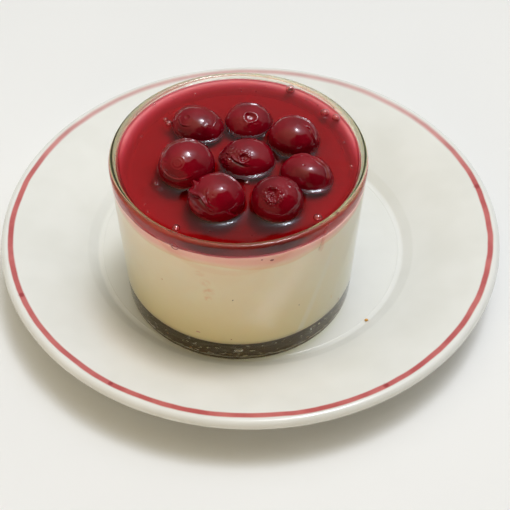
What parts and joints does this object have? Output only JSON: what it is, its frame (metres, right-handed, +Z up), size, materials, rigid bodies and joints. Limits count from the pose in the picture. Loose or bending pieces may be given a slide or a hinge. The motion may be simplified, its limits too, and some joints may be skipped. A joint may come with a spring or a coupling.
{
  "type": "cherry tiramisu in a glass on a plate",
  "caption": "Spoon dessert of smooth white cream under clear red fruit jelly with whole pitted fruit, set in a low heavy glass that stands off-centre on a small plate with a red rim line.",
  "frame": {"origin": "middle of the plate's foot ring, on the table it stands on", "axes": "+Z up; the glass stands towards -Y, and a little towards -X, of the plate's middle"},
  "size_m": [0.165, 0.165, 0.0704],
  "materials": {
    "plate_china": "glossy white glaze with a red line round the rim",
    "clear_glass": "clear polished glass with a faint green-grey cast",
    "cream": "smooth set white cream, stained pink just under the jelly",
    "jelly": "clear wet dark red jelly",
    "cherry": "wet glossy dark red fruit skin, wrinkled and split in places"
  },
  "bodies": {
    "root": {"plate": "plate_china", "glass": "clear_glass", "cream": "cream", "cherry_jelly": "jelly", "cherry_1": "cherry", "cherry_2": "cherry", "cherry_3": "cherry", "cherry_4": "cherry", "cherry_5": "cherry", "cherry_6": "cherry", "cherry_7": "cherry", "cherry_8": "cherry"}
  },
  "joints": []
}
